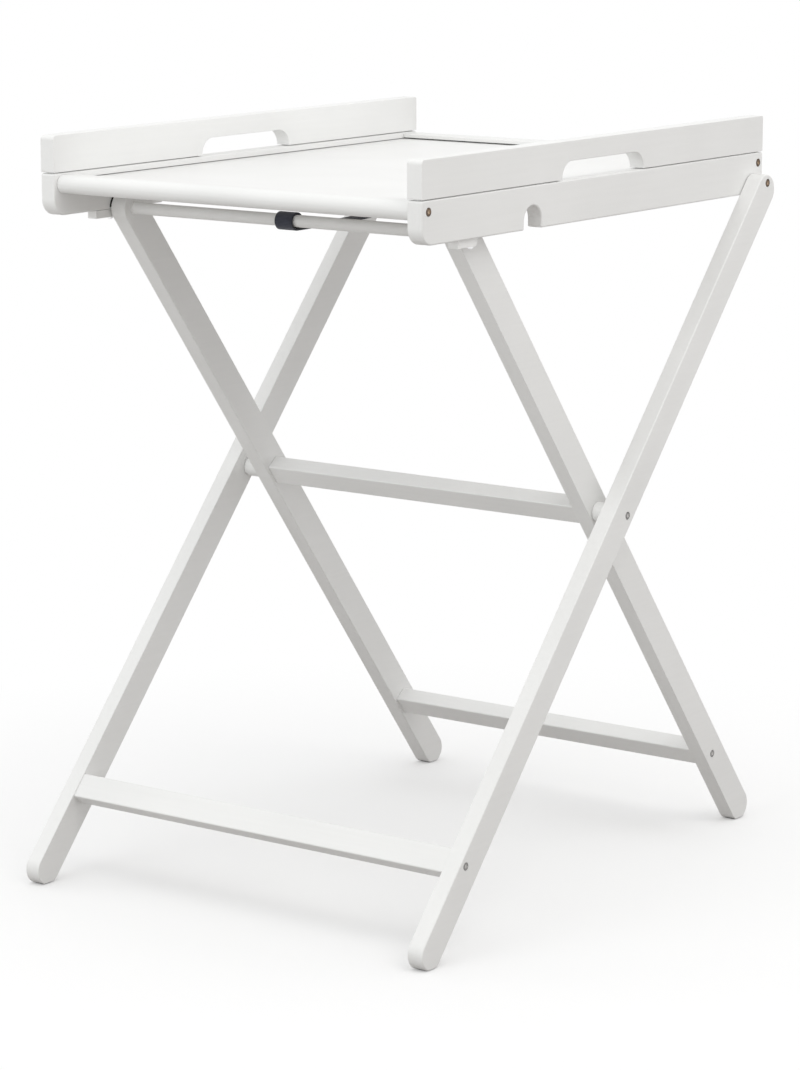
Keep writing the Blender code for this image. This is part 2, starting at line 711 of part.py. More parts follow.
def guard_outline():
    half = HANDLE_WIDTH / 2
    handle_top = GUARD_BOTTOM + HANDLE_HEIGHT
    radius = min(HANDLE_CORNER_RADIUS, HANDLE_HEIGHT)
    return rounded([
        (RAIL_FRONT, GUARD_BOTTOM, RAIL_CORNER_RADIUS),
        (RAIL_MIDDLE - half, GUARD_BOTTOM, 0),
        (RAIL_MIDDLE - half, handle_top, radius),
        (RAIL_MIDDLE + half, handle_top, radius),
        (RAIL_MIDDLE + half, GUARD_BOTTOM, 0),
        (RAIL_REAR, GUARD_BOTTOM, RAIL_CORNER_RADIUS),
        (RAIL_REAR, GUARD_TOP, RAIL_CORNER_RADIUS),
        (RAIL_FRONT, GUARD_TOP, GUARD_FRONT_RADIUS),
    ])


def rail_pieces(kind, outline, pins, tools):
    for side_name, side in SIDES:
        place = (side * (RAIL_IN + RAIL_THICKNESS / 2), 0, 0)
        piece = flat_piece(kind + "_" + side_name, [outline], RAIL_THICKNESS, place, upright(0))
        round_edges(piece, RAIL_EDGE_ROUND)
        if pins:
            join(piece, pins[side])
        cut(piece, *tools)
        keep(piece, tray, white_lacquer)


def guard_pins():
    # The guard's pins stand in holes in the rail's top edge; they are part of the guard
    x = RAIL_OUT - GUARD_PIN_FROM_FACE
    half = HANDLE_WIDTH / 2 + GUARD_PIN_FROM_HANDLE
    spots = (RAIL_FRONT + GUARD_PIN_FROM_END, RAIL_MIDDLE - half,
             RAIL_MIDDLE + half, RAIL_REAR - GUARD_PIN_FROM_END)
    radius = GUARD_PIN_DIAMETER / 2
    spare = Vector((0, 0, FIT_GAP))
    pins = {}
    hole_ends = []
    for side_name, side in SIDES:
        pin_ends = []
        for y in spots:
            low = Vector((side * x, y, RAIL_TOP - GUARD_PIN_DEPTH))
            high = Vector((side * x, y, GUARD_BOTTOM + GUARD_PIN_DEPTH))
            pin_ends.append((low, high))
            hole_ends.append((low - spare, high + spare))
        pins[side] = as_cutter(rods("guard_pins_" + side_name, pin_ends, radius, PIN_SIDES))
    return pins, as_cutter(rods("guard_pin_holes", hole_ends, radius + FIT_GAP, PIN_SIDES))


def panel_grooves():
    side = RAIL_IN + GROOVE_DEPTH
    front = FRONT_BAR_BACK - GROOVE_DEPTH
    rear = REAR_BAR_FACE + GROOVE_DEPTH
    bottom = PANEL_BOTTOM - FIT_GAP
    top = PANEL_TOP + GROOVE_HEADROOM
    ring = boxes("panel_groove", [((-side, front, bottom), (side, rear, top))])
    gap_top = PANEL_TOP + REAR_GROOVE_HEADROOM
    slot_front = REAR_BAR_FACE - CUT_OVERRUN
    slot_half = BAR_END + CUT_OVERRUN
    slot = boxes("rear_groove", [((-slot_half, slot_front, bottom), (slot_half, rear, gap_top))])
    return as_cutter(ring), as_cutter(slot)


def panel():
    side = RAIL_IN + GROOVE_DEPTH - FIT_GAP
    front = FRONT_BAR_BACK - GROOVE_DEPTH + FIT_GAP
    rear = REAR_BAR_FACE + GROOVE_DEPTH - FIT_GAP
    low = (-side, front, PANEL_BOTTOM)
    high = (side, rear, PANEL_TOP)
    keep(boxes("tray_panel", [(low, high)]), tray, white_lacquer)


def tray_bar(name, front, rear, nose, tools):
    corners = [(front, BAR_BOTTOM, nose), (rear, BAR_BOTTOM, BAR_EDGE_ROUND / 2),
               (rear, BAR_TOP, BAR_EDGE_ROUND / 2), (front, BAR_TOP, nose)]
    bar = flat_piece(name, [rounded(corners)], 2 * BAR_END, (0, 0, 0), upright(0))
    cut(bar, *tools)
    keep(bar, tray, white_lacquer)


def rest_blocks():
    under = DOWEL_Z + LEG_RADIUS + FIT_GAP
    top = PANEL_BOTTOM - FIT_GAP
    front = DOWEL_AXIS[0] - REST_BLOCK_AHEAD_OF_DOWEL
    rear = front + REST_BLOCK_LENGTH
    bore = screws_across("rest_block_screw", ((front + rear) / 2, (under + top) / 2), INNER_IN,
                         RAIL_IN + REST_SCREW_INTO_RAIL, tray)
    for side_name, side in SIDES:
        inner, outer = sorted((side * INNER_IN, side * (RAIL_IN - FIT_GAP)))
        block = boxes("rest_block_" + side_name, [((inner, front, under), (outer, rear, top))])
        cut(block, bore)
        keep(block, tray, white_lacquer)
    return bore


def catches():
    top = RAIL_BOTTOM - FIT_GAP
    bottom = top - CATCH_HEIGHT
    head_face = bottom - FIT_GAP - CATCH_SCREW_HEAD_HEIGHT
    bore = screws_upward("catch_screw", CATCH_X, CATCH_Y, head_face, CATCH_SCREW_HEAD_HEIGHT,
                         RAIL_BOTTOM + CATCH_SCREW_INTO_RAIL)
    front = CATCH_RADIUS - CATCH_LENGTH
    outline = rounded([(-CATCH_RADIUS, front, CATCH_FRONT_RADIUS), (CATCH_RADIUS, front, CATCH_FRONT_RADIUS),
                       (CATCH_RADIUS, CATCH_RADIUS, CATCH_REAR_RADIUS),
                       (-CATCH_RADIUS, CATCH_RADIUS, CATCH_REAR_RADIUS)])
    for side_name, side in SIDES:
        pivot = new_empty("catch_pivot_" + side_name, (side * CATCH_X, CATCH_Y, bottom), tray)
        spot = (side * CATCH_X, CATCH_Y, bottom + CATCH_HEIGHT / 2)
        catch = flat_piece("catch_" + side_name, [outline], CATCH_HEIGHT, spot, (0, 0, 0))
        round_edges(catch, CATCH_EDGE_ROUND)
        cut(catch, bore)
        keep(catch, pivot, white_plastic)
    return bore


def build_outer_frame(floor, crossing_bore, pivot_bore):
    bore = bolt_pair("front_foot_bolt", FRONT_FOOT_AXIS, OUTER_OUT, OUTER_IN - BOLT_INTO_BAR,
                     STEEL_HEAD_DIAMETER, outer_frame, zinc_steel)
    pocket = barrel_nuts("front_foot_nut", FRONT_FOOT_AXIS, OUTER_WAY, OUTER_IN,
                         FRONT_FOOT_BAR_ACROSS, outer_frame, zinc_steel, bore)
    pins, pin_holes = locating_pins("front_foot_pins", FRONT_FOOT_AXIS, OUTER_WAY, OUTER_IN)
    crossbar("front_foot_bar", FRONT_FOOT_AXIS, OUTER_WAY, FRONT_FOOT_BAR_ALONG,
             FRONT_FOOT_BAR_ACROSS, OUTER_IN, outer_frame, pins, (bore, pocket))
    legs("outer", OUTER_WAY, OUTER_LOWER_LENGTH, OUTER_UPPER_LENGTH, OUTER_IN,
         OUTER_LEG_THICKNESS, outer_frame, (floor, crossing_bore, pivot_bore, bore, pin_holes))
    foot_y = leg_point(OUTER_WAY, -OUTER_LOWER_LENGTH, 0)[0]
    glides("front_glide", foot_y, (OUTER_IN + OUTER_OUT) / 2, outer_frame)


def build_inner_frame(floor, crossing_bore):
    rear_bore = bolt_pair("rear_foot_bolt", REAR_FOOT_AXIS, INNER_OUT, INNER_IN - BOLT_INTO_BAR,
                          STEEL_HEAD_DIAMETER, inner_frame, zinc_steel)
    rear_pocket = barrel_nuts("rear_foot_nut", REAR_FOOT_AXIS, INNER_WAY, INNER_IN,
                              REAR_FOOT_BAR_ACROSS, inner_frame, zinc_steel, rear_bore)
    mid_pocket = barrel_nuts("crossing_nut", SCISSOR_AXIS, INNER_WAY, INNER_IN,
                             MID_BAR_ACROSS, inner_frame, zinc_steel, crossing_bore)
    rear_pins, rear_holes = locating_pins("rear_foot_pins", REAR_FOOT_AXIS, INNER_WAY, INNER_IN)
    mid_pins, mid_holes = locating_pins("mid_bar_pins", SCISSOR_AXIS, INNER_WAY, INNER_IN)
    crossbar("rear_foot_bar", REAR_FOOT_AXIS, INNER_WAY, REAR_FOOT_BAR_ALONG,
             REAR_FOOT_BAR_ACROSS, INNER_IN, inner_frame, rear_pins, (rear_bore, rear_pocket))
    crossbar("mid_crossbar", SCISSOR_AXIS, INNER_WAY, MID_BAR_ALONG, MID_BAR_ACROSS,
             INNER_IN, inner_frame, mid_pins, (crossing_bore, mid_pocket))
    crossing_spacers()
    dowel, socket = support_dowel()
    screw_bore = screws_across("dowel_screw", DOWEL_AXIS, INNER_OUT,
                               INNER_OUT - DOWEL_SCREW_LENGTH, inner_frame)
    cut(dowel, screw_bore)
    keep(dowel, inner_frame, white_lacquer)
    slide_discs()
    legs("inner", INNER_WAY, INNER_LOWER_LENGTH, INNER_UPPER_LENGTH, INNER_IN,
         INNER_LEG_THICKNESS, inner_frame,
         (floor, crossing_bore, rear_bore, rear_holes, mid_holes, socket, screw_bore))
    foot_y = leg_point(INNER_WAY, -INNER_LOWER_LENGTH, 0)[0]
    glides("rear_glide", foot_y, (INNER_IN + INNER_OUT) / 2, inner_frame)
    strap()


def build_tray(pivot_bore):
    tip = BAR_END - TRAY_BOLT_INTO_BAR
    front_bore = bolt_pair("front_rail_bolt", FRONT_BOLT_AXIS, RAIL_OUT, tip,
                           BRONZE_HEAD_DIAMETER, tray, bronzed_steel)
    rear_bore = bolt_pair("rear_rail_bolt", REAR_BOLT_AXIS, RAIL_OUT, tip,
                          BRONZE_HEAD_DIAMETER, tray, bronzed_steel)
    pivot_pocket = pivot_sleeves()
    groove, rear_groove = panel_grooves()
    pins, pin_holes = guard_pins()
    block_bore = rest_blocks()
    catch_bore = catches()
    clamp_bore = strap_clamp()
    rail_pieces("side_rail", rail_outline(), None,
                (groove, pin_holes, front_bore, rear_bore, pivot_bore, pivot_pocket, block_bore,
                 catch_bore))
    rail_pieces("guard_rail", guard_outline(), pins, ())
    tray_bar("front_bar", FRONT_BAR_FACE, FRONT_BAR_BACK, TRAY_BAR_HEIGHT / 2 - FIT_GAP,
             (groove, front_bore))
    tray_bar("rear_bar", REAR_BAR_FACE, RAIL_REAR, BAR_EDGE_ROUND / 2,
             (rear_groove, rear_bore, clamp_bore))
    panel()


def build_table():
    crossing_bore = bolt_pair("crossing_bolt", SCISSOR_AXIS, OUTER_OUT, INNER_IN - BOLT_INTO_BAR,
                              STEEL_HEAD_DIAMETER, inner_frame, zinc_steel)
    pivot_tip = RAIL_IN + PIVOT_BOLT_SET_IN
    pivot_bore = bolt_pair("pivot_bolt", TRAY_AXIS, OUTER_OUT, pivot_tip,
                           BRONZE_HEAD_DIAMETER, tray, bronzed_steel)
    pivot_washers()
    floor = floor_cut()
    build_outer_frame(floor, crossing_bore, pivot_bore)
    build_inner_frame(floor, crossing_bore)
    build_tray(pivot_bore)


clear_scene()
parts = new_collection("folding_changing_table")
cutters = new_collection("cutters")
white_lacquer = new_material("white_lacquer", WHITE_LACQUER)
white_plastic = new_material("white_plastic", WHITE_PLASTIC)
bronzed_steel = new_material("bronzed_steel", BRONZED_STEEL)
zinc_steel = new_material("zinc_steel", ZINC_STEEL)
navy_webbing = new_material("navy_webbing", NAVY_WEBBING)
grey_rubber = new_material("grey_rubber", GREY_RUBBER)
outer_frame = new_empty("outer_frame", (0, 0, 0))
inner_frame = new_empty("inner_frame", (0, *SCISSOR_AXIS), outer_frame)
tray = new_empty("tray", (0, *TRAY_AXIS), outer_frame)
build_table()
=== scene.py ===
# Folding changing table in white lacquer: crossed legs, a railed tray and a webbing strap
import math

import bmesh
import bpy
from mathutils import Matrix, Vector


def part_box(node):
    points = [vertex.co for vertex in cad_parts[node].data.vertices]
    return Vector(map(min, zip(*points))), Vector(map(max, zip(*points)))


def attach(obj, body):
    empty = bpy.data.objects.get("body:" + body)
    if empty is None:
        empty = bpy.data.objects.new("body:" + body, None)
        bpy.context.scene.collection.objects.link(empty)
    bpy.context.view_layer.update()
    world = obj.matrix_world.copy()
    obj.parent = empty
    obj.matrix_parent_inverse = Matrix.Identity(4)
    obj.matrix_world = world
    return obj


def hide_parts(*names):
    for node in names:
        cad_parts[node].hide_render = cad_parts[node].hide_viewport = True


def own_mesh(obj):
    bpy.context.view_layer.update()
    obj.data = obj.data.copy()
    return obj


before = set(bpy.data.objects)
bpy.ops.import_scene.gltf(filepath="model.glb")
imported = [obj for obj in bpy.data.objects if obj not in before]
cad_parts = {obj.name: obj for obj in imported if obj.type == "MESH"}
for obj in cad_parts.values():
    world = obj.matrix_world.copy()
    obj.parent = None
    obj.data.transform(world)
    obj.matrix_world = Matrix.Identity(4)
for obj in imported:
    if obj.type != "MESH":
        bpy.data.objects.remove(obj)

scene = bpy.context.scene
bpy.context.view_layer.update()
sides = {"left": -1, "right": 1}
print("frame loaded")


# Placing and cutting

def legSpot(way, along, across):  # side-view place of a point on a leg, from the crossing
    y = legs["crossing"][0] + along * math.cos(way) - across * math.sin(way)
    z = legs["crossing"][1] + along * math.sin(way) + across * math.cos(way)
    return y, z


def nodeAxis(name):  # middle of a node in the side view
    low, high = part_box(name)
    return (low.y + high.y) / 2, (low.z + high.z) / 2


def asObject(bm, name):
    mesh = bpy.data.meshes.new(name)
    bm.to_mesh(mesh)
    bm.free()
    piece = bpy.data.objects.new(name, mesh)
    scene.collection.objects.link(piece)
    return piece


def carve(bm, *cutters, way="DIFFERENCE"):  # cuts the cutters' solids out of the piece, or joins them on
    host = asObject(bm, "host")
    tools = [asObject(cutter, "cutter") for cutter in cutters]
    for tool in tools:
        boolean = host.modifiers.new("carve", "BOOLEAN")
        boolean.object = tool
        boolean.operation = way
        boolean.solver = "EXACT"
    seen = host.evaluated_get(bpy.context.evaluated_depsgraph_get())
    carved = bmesh.new()
    carved.from_mesh(seen.to_mesh())
    for used in [host] + tools:
        data = used.data
        bpy.data.objects.remove(used)
        bpy.data.meshes.remove(data)
    return carved


def soften(bm, width, steps=3, angle=60, chosen=None):  # rounds the edges sharper than the angle
    edges = [edge for edge in bm.edges if edge.calc_face_angle(0) > math.radians(angle)]
    if chosen:
        edges = [edge for edge in edges if chosen(edge)]
    bmesh.ops.bevel(bm, geom=edges, offset=width, offset_type="OFFSET", segments=steps, profile=0.5,
                    affect="EDGES", material=-1, clamp_overlap=True)


def drawBoard(corners, low, high, plane="side", steps=8):
    # corners are (first, second, radius): y and z in the side view, x and y in the plan
    bm = bmesh.new()
    if plane == "side":
        verts = [bm.verts.new((low, first, second)) for first, second, radius in corners]
        lift = (high - low, 0, 0)
    else:
        verts = [bm.verts.new((first, second, low)) for first, second, radius in corners]
        lift = (0, 0, high - low)
    bm.faces.new(verts)
    for vert, (first, second, radius) in zip(verts, corners):
        if radius:
            bmesh.ops.bevel(bm, geom=[vert], offset=radius, offset_type="OFFSET", segments=steps,
                            profile=0.5, affect="VERTICES", material=-1, clamp_overlap=False)
    bmesh.ops.remove_doubles(bm, verts=bm.verts, dist=1e-4)
    raised = bmesh.ops.extrude_face_region(bm, geom=bm.faces[:])["geom"]
    moved = [item for item in raised if isinstance(item, bmesh.types.BMVert)]
    bmesh.ops.translate(bm, verts=moved, vec=lift)
    bmesh.ops.recalc_face_normals(bm, faces=bm.faces)
    return bm


def turn(profile, centre, axis="X", steps=48):
    # profile is (radius, height) down the axis; heights are places on that axis
    bm = bmesh.new()
    if axis == "X":
        line = [bm.verts.new((height, centre[0] + radius, centre[1])) for radius, height in profile]
        middle, way = (0, *centre), (1, 0, 0)
    else:
        line = [bm.verts.new((centre[0] + radius, centre[1], height)) for radius, height in profile]
        middle, way = (*centre, 0), (0, 0, 1)
    for first, second in zip(line, line[1:]):
        bm.edges.new((first, second))
    bmesh.ops.spin(bm, geom=bm.verts[:] + bm.edges[:], cent=middle, axis=way, angle=math.tau,
                   steps=steps, use_merge=True, use_duplicate=False)
    bmesh.ops.remove_doubles(bm, verts=bm.verts, dist=1e-6)
    bmesh.ops.recalc_face_normals(bm, faces=bm.faces)
    return bm


def drillRods(spots, start, end, radius, steps=40):  # rods along X, one at each side-view spot
    bm = bmesh.new()
    for y, z in spots:
        spot = Matrix.Translation(((start + end) / 2, y, z)) @ Matrix.Rotation(math.pi / 2, 4, "Y")
        bmesh.ops.create_cone(bm, cap_ends=True, segments=steps, radius1=radius, radius2=radius,
                              depth=abs(end - start), matrix=spot)
    return bm


def block(low, high):
    bm = bmesh.new()
    size = Vector(high) - Vector(low)
    middle = Matrix.Translation((Vector(low) + Vector(high)) / 2)
    bmesh.ops.create_cube(bm, size=1, matrix=middle @ Matrix.Diagonal((*size, 1)))
    return bm


def trim(bm, spot, away):  # cuts off what lies past the plane, and closes the cut
    cut = bmesh.ops.bisect_plane(bm, geom=bm.verts[:] + bm.edges[:] + bm.faces[:], dist=1e-7,
                                 plane_co=spot, plane_no=away, clear_outer=True)
    rim = [item for item in cut["geom_cut"] if isinstance(item, bmesh.types.BMEdge)]
    return bmesh.ops.edgeloop_fill(bm, edges=rim)["faces"]


def faceEdges(x):  # picks the edges that lie wholly on the face at x
    return lambda edge: all(abs(v.co.x - x) < 1e-6 for v in edge.verts)


def mouthOf(x, spots, radius):  # picks the edges round a hole's mouth
    def picked(edge):
        for y, z in spots:
            if all(abs(v.co.x - x) < 2e-5 and abs(math.hypot(v.co.y - y, v.co.z - z) - radius) < 2e-5
                   for v in edge.verts):
                return True
        return False
    return picked


def place(bm, name, finish, body, nodes=(), sharp=38):
    bmesh.ops.recalc_face_normals(bm, faces=bm.faces)
    for face in bm.faces:
        face.smooth = True
    for edge in bm.edges:
        edge.smooth = edge.calc_face_angle(0) < math.radians(sharp)
    piece = asObject(bm, name)
    piece.data.materials.append(finish)
    shading = piece.modifiers.new("evenShading", "WEIGHTED_NORMAL")
    shading.keep_sharp = True
    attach(piece, body)
    if nodes:
        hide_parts(*nodes)
    return piece


# Finishes

def newFinish(name, colour, roughness, metallic=0.0):
    material = bpy.data.materials.new(name)
    material.use_nodes = True
    material.diffuse_color = (*colour, 1)
    shader = material.node_tree.nodes["Principled BSDF"]
    shader.inputs["Base Color"].default_value = (*colour, 1)
    shader.inputs["Roughness"].default_value = roughness
    shader.inputs["Metallic"].default_value = metallic
    return material, material.node_tree, shader


def addNode(tree, kind, **inputs):
    node = tree.nodes.new(kind)
    for label, value in inputs.items():
        node.inputs[label].default_value = value
    return node


def ownPlace(tree, turned=(0, 0, 0), stretch=(1, 1, 1)):
    coordinates = tree.nodes.new("ShaderNodeTexCoord")
    mapping = addNode(tree, "ShaderNodeMapping", Rotation=turned, Scale=stretch)
    tree.links.new(coordinates.outputs["Object"], mapping.inputs["Vector"])
    return mapping.outputs["Vector"]


def noise(tree, vector, scale, detail=2.0, roughness=0.5):
    node = addNode(tree, "ShaderNodeTexNoise", Scale=scale, Detail=detail, Roughness=roughness)
    tree.links.new(vector, node.inputs["Vector"])
    return node.outputs["Fac"]


def spread(tree, value, low, high, first=0.3, last=0.7):  # maps a noise value onto a range
    node = addNode(tree, "ShaderNodeMapRange")
    for label, amount in (("From Min", first), ("From Max", last), ("To Min", low), ("To Max", high)):
        node.inputs[label].default_value = amount
    tree.links.new(value, node.inputs["Value"])
    return node.outputs["Result"]


def blendColours(tree, factor, first, second):
    node = tree.nodes.new("ShaderNodeMix")
    node.data_type = "RGBA"
    for label, colour in (("A", first), ("B", second)):
        if isinstance(colour, tuple):
            node.inputs[label].default_value = (*colour, 1)
        else:
            tree.links.new(colour, node.inputs[label])
    tree.links.new(factor, node.inputs["Factor"])
    return node.outputs["Result"]


def raiseBy(tree, height, strength, distance, below=None):
    node = addNode(tree, "ShaderNodeBump", Strength=strength, Distance=distance)
    tree.links.new(height, node.inputs["Height"])
    if below is not None:
        tree.links.new(below, node.inputs["Normal"])
    return node.outputs["Normal"]


lacquer = {
    "light": (0.880, 0.880, 0.870), "shade": (0.805, 0.806, 0.796),
    "roughness": (0.33, 0.47), "grain": 0.22, "peel": 0.25,
}


def makeLacquer(name, way=0.0, along="Y", grain=1.0):
    # White lacquer over wood: long faint grain under the film, and the film's own fine peel
    material, tree, shader = newFinish(name, lacquer["light"], 0.38)
    stretch = {"X": (7, 190, 190), "Y": (190, 7, 190)}[along]
    fibres = noise(tree, ownPlace(tree, (-way, 0, 0), stretch), 1.0, 3.0, 0.55)
    clouds = noise(tree, ownPlace(tree), 5.0, 2.0)
    peel = noise(tree, ownPlace(tree), 620.0, 2.0)
    tone = tree.nodes.new("ShaderNodeMath")
    tone.operation = "MULTIPLY_ADD"
    tone.inputs[1].default_value = 0.45 * grain
    tree.links.new(fibres, tone.inputs[0])
    tree.links.new(spread(tree, clouds, 0.0, 0.55), tone.inputs[2])
    tree.links.new(blendColours(tree, tone.outputs[0], lacquer["light"], lacquer["shade"]),
                   shader.inputs["Base Color"])
    tree.links.new(spread(tree, clouds, *lacquer["roughness"]), shader.inputs["Roughness"])
    under = raiseBy(tree, fibres, lacquer["grain"] * grain, 0.0004)
    tree.links.new(raiseBy(tree, peel, lacquer["peel"], 0.0002, under), shader.inputs["Normal"])
    return material


def makePlastic(name, colour, other, roughness, pitch=0.3):
    material, tree, shader = newFinish(name, colour, roughness)
    grit = noise(tree, ownPlace(tree), 1500.0, 2.0)
    flow = noise(tree, ownPlace(tree, stretch=(1, 1, 3)), 30.0, 1.0)
    tree.links.new(blendColours(tree, flow, colour, other), shader.inputs["Base Color"])
    tree.links.new(spread(tree, flow, roughness - 0.05, roughness + 0.08), shader.inputs["Roughness"])
    tree.links.new(raiseBy(tree, grit, pitch, 0.0001), shader.inputs["Normal"])
    return material


def makeMetal(name, colour, other, roughness, pitch=0.25, paintedHighlight=None):
    # Plated steel: cloudy tone, fine turning marks, duller where handled, and a painted highlight inside
    # the hex socket
    material, tree, shader = newFinish(name, colour, roughness, 1.0)
    clouds = noise(tree, ownPlace(tree), 240.0, 3.0)
    marks = noise(tree, ownPlace(tree, stretch=(1, 6, 1)), 900.0, 2.0)
    tone = blendColours(tree, spread(tree, clouds, 0, 1), colour, other)
    # Inside the socket the tone turns to a lighter colour: a painted highlight
    if paintedHighlight:
        mapped = tree.nodes.new("ShaderNodeUVMap")
        mapped.uv_map = "wearMap"
        across = tree.nodes.new("ShaderNodeSeparateXYZ")
        tree.links.new(mapped.outputs["UV"], across.inputs[0])
        tone = blendColours(tree, across.outputs[0], tone, paintedHighlight)
    tree.links.new(tone, shader.inputs["Base Color"])
    tree.links.new(spread(tree, clouds, roughness - 0.08, roughness + 0.12), shader.inputs["Roughness"])
    tree.links.new(raiseBy(tree, marks, pitch, 0.00005), shader.inputs["Normal"])
    return material


# The last band marks where the strap darkens towards its long edges: painted shade
webbing = {
    "navy": (0.064, 0.071, 0.106), "deep": (0.015, 0.017, 0.029), "thread": (0.120, 0.128, 0.170),
    "ribPitch": 0.0012, "pickPitch": 0.0015, "edgeShadeBand": (0.0108, 0.0122),
}


def makeWebbing(name):
    # Ribs run along the strap and picks across it; both follow the strap's own map, in metres
    material, tree, shader = newFinish(name, webbing["navy"], 0.86)
    shader.inputs["Sheen Weight"].default_value = 0.25
    shader.inputs["Sheen Roughness"].default_value = 0.5
    mapped = tree.nodes.new("ShaderNodeUVMap")
    mapped.uv_map = "strapMap"
    waves = []
    for direction, pitch in (("X", webbing["ribPitch"]), ("Y", webbing["pickPitch"])):
        wave = addNode(tree, "ShaderNodeTexWave", Scale=math.pi / (10 * pitch), Distortion=0.0)
        wave.bands_direction = direction
        tree.links.new(mapped.outputs["UV"], wave.inputs["Vector"])
        waves.append(wave.outputs["Fac"])
    woven = tree.nodes.new("ShaderNodeMath")
    woven.operation = "MULTIPLY"
    tree.links.new(waves[0], woven.inputs[0])
    tree.links.new(spread(tree, waves[1], 0.35, 1.0, 0.0, 1.0), woven.inputs[1])
    fuzz = noise(tree, ownPlace(tree), 2600.0, 2.0)
    across = tree.nodes.new("ShaderNodeSeparateXYZ")
    tree.links.new(mapped.outputs["UV"], across.inputs[0])
    aside = tree.nodes.new("ShaderNodeMath")
    aside.operation = "ABSOLUTE"
    tree.links.new(across.outputs[0], aside.inputs[0])
    body = blendColours(tree, woven.outputs[0], webbing["deep"], webbing["navy"])
    # Darker towards the strap's two long edges: painted shade along the edges
    paintedEdgeShade = spread(tree, aside.outputs[0], 0.0, 0.85, *webbing["edgeShadeBand"])
    tree.links.new(blendColours(tree, paintedEdgeShade, body, webbing["deep"]), shader.inputs["Base Color"])
    tree.links.new(spread(tree, fuzz, 0.78, 0.94), shader.inputs["Roughness"])
    under = raiseBy(tree, woven.outputs[0], 0.7, 0.0004)
    tree.links.new(raiseBy(tree, fuzz, 0.25, 0.0001, under), shader.inputs["Normal"])
    return material


def makeFelt(name, colour, other):
    material, tree, shader = newFinish(name, colour, 0.92)
    shader.inputs["Sheen Weight"].default_value = 0.2
    fibres = noise(tree, ownPlace(tree), 1800.0, 4.0, 0.7)
    tufts = noise(tree, ownPlace(tree), 260.0, 2.0)
    tone = blendColours(tree, spread(tree, fibres, 0, 1), colour, other)
    tree.links.new(tone, shader.inputs["Base Color"])
    tree.links.new(spread(tree, tufts, 0.84, 0.96), shader.inputs["Roughness"])
    tree.links.new(raiseBy(tree, fibres, 0.6, 0.0002), shader.inputs["Normal"])
    return material


legs = {
    "crossing": (0.026721, 0.484395), "width": 0.0400, "rim": 0.0018, "railRim": 0.0009,
    "footFlat": 0.0015,
    "outer": {"way": math.radians(48.52), "lower": 0.6212, "upper": 0.4875},
    "inner": {"way": math.radians(127.57), "lower": 0.5872, "upper": 0.45528},
}

outerLacquer = makeLacquer("outerLegLacquer", legs["outer"]["way"])
innerLacquer = makeLacquer("innerLegLacquer", legs["inner"]["way"])
railLacquer = makeLacquer("railLacquer")
crossbarLacquer = makeLacquer("crossbarLacquer", along="X")
turnedLacquer = makeLacquer("turnedLacquer", along="X", grain=0.4)
panelLacquer = makeLacquer("panelLacquer", grain=0.25)
catchPlastic = makePlastic("catchPlastic", (0.92, 0.92, 0.91), (0.89, 0.89, 0.88), 0.3)
washerPlastic = makePlastic("washerPlastic", (0.82, 0.82, 0.80), (0.78, 0.78, 0.76), 0.4)
# Each bolt metal's last colour is a painted highlight for the inside of the hex socket
bronze = makeMetal("bronzedSteel", (0.185, 0.135, 0.100), (0.110, 0.078, 0.056), 0.36,
                   paintedHighlight=(0.60, 0.51, 0.42))
headSteel = makeMetal("boltHeadSteel", (0.30, 0.295, 0.29), (0.21, 0.205, 0.20), 0.34,
                      paintedHighlight=(0.70, 0.69, 0.68))
brightZinc = makeMetal("brightZincSteel", (0.92, 0.92, 0.92), (0.86, 0.86, 0.87), 0.36)
zinc = makeMetal("zincSteel", (0.62, 0.63, 0.65), (0.54, 0.55, 0.56), 0.34)
navyWebbing = makeWebbing("navyWebbing")
navyThread = makeFelt("navyThread", webbing["thread"], webbing["navy"])
# Near-black finish for the thin sheets behind the leg tops: painted shade for the gap between leg and rail
gapShadowPaint = makeFelt("gapShadowPaint", (0.022, 0.022, 0.024), (0.012, 0.012, 0.014))
footRubber = makePlastic("footRubber", (0.055, 0.055, 0.056), (0.040, 0.040, 0.041), 0.8, 0.6)
print("finishes made")


# Legs

recess = {"steel": 0.0049, "bronze": 0.0052, "mouth": 0.0003, "depth": 0.0038, "past": 0.002}


def boltHole(side, spots, face, radius):  # recess round a bolt head, from the outer face
    return drillRods(spots, side * (face - recess["depth"]), side * (face + recess["past"]), radius)


def makeLeg(kind, sideName, spots, bronzeSpots=()):
    side = sides[sideName]
    shape = legs[kind]
    node = kind + "_leg_" + sideName
    low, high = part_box(node)
    half = legs["width"] / 2
    ends = [(-shape["lower"] - half, -half), (shape["upper"] + half, -half),
            (shape["upper"] + half, half), (-shape["lower"] - half, half)]
    corners = [(*legSpot(shape["way"], *end), half) for end in ends]
    bm = drawBoard(corners, low.x, high.x, steps=14)
    nearRail, farFromRail = sorted((low.x, high.x), key=abs, reverse=kind == "inner")
    soften(bm, legs["railRim"], chosen=faceEdges(nearRail))
    soften(bm, legs["rim"], chosen=faceEdges(farFromRail))
    trim(bm, (0, 0, legs["footFlat"]), (0, 0, -1))
    face = max(abs(low.x), abs(high.x))
    cutters = [boltHole(side, spots, face, recess["steel"])]
    if bronzeSpots:
        cutters.append(boltHole(side, bronzeSpots, face, recess["bronze"]))
    bm = carve(bm, *cutters)
    soften(bm, recess["mouth"], 2, chosen=mouthOf(side * face, spots, recess["steel"]))
    if bronzeSpots:
        soften(bm, recess["mouth"], 2, chosen=mouthOf(side * face, bronzeSpots, recess["bronze"]))
    finish = outerLacquer if kind == "outer" else innerLacquer
    body = kind + "_frame"
    place(bm, kind + "Leg" + sideName.title(), finish, body, [node])


